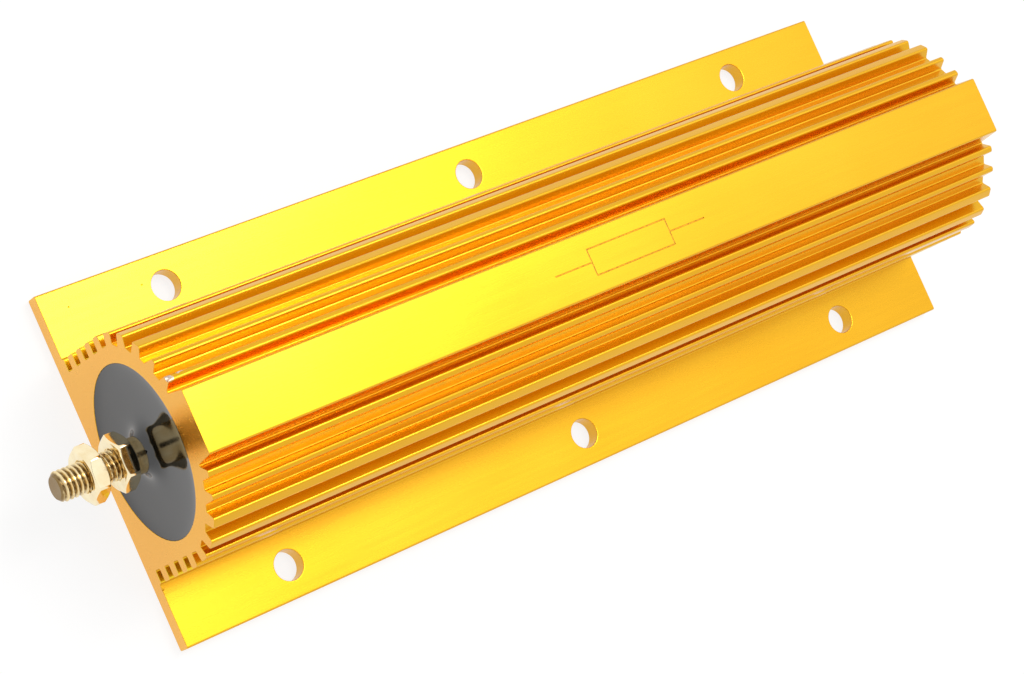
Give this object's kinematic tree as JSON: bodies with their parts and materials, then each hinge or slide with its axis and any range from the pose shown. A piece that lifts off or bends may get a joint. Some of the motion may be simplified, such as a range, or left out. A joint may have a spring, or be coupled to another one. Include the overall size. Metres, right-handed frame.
{
  "type": "aluminium housed power resistor",
  "caption": "Wire-wound ceramic power resistor potted into a finned gold-anodised aluminium extrusion, with a flanged screw-down base and a threaded stud terminal with nuts at each end.",
  "frame": {"origin": "middle of the mounting face under the base, which is the middle of the whole part's footprint", "axes": "+X along the body from stud a to stud b, +Y across the base, +Z from the mounting face up to the flat crown"},
  "size_m": [0.2388, 0.0724, 0.046],
  "materials": {
    "anodised_housing": "gold-orange dyed anodising, satin, with fine extrusion lines and saw marks on the end faces",
    "ceramic": "unglazed steatite",
    "resistance_wire": "oxidised nickel-chrome wire",
    "filler": "cured silicone and mineral filler",
    "cap_steel": "pressed stainless steel",
    "mica_board": "pressed mica board",
    "black_epoxy": "glossy black potting resin",
    "stud_brass": "turned brass, thread slightly tarnished",
    "nut_brass": "bright pale brass"
  },
  "bodies": {
    "root": {"housing": "anodised_housing", "ceramic_core": "ceramic", "resistance_wire": "resistance_wire", "filler": "filler", "end_cap_a": "cap_steel", "end_cap_b": "cap_steel", "centring_disc_a": "mica_board", "centring_disc_b": "mica_board", "end_seal_a": "black_epoxy", "end_seal_b": "black_epoxy", "terminal_stud_a": "stud_brass", "terminal_stud_b": "stud_brass", "lock_nut_a": "nut_brass", "lock_nut_b": "nut_brass", "terminal_nut_a": "nut_brass", "terminal_nut_b": "nut_brass"}
  },
  "joints": []
}
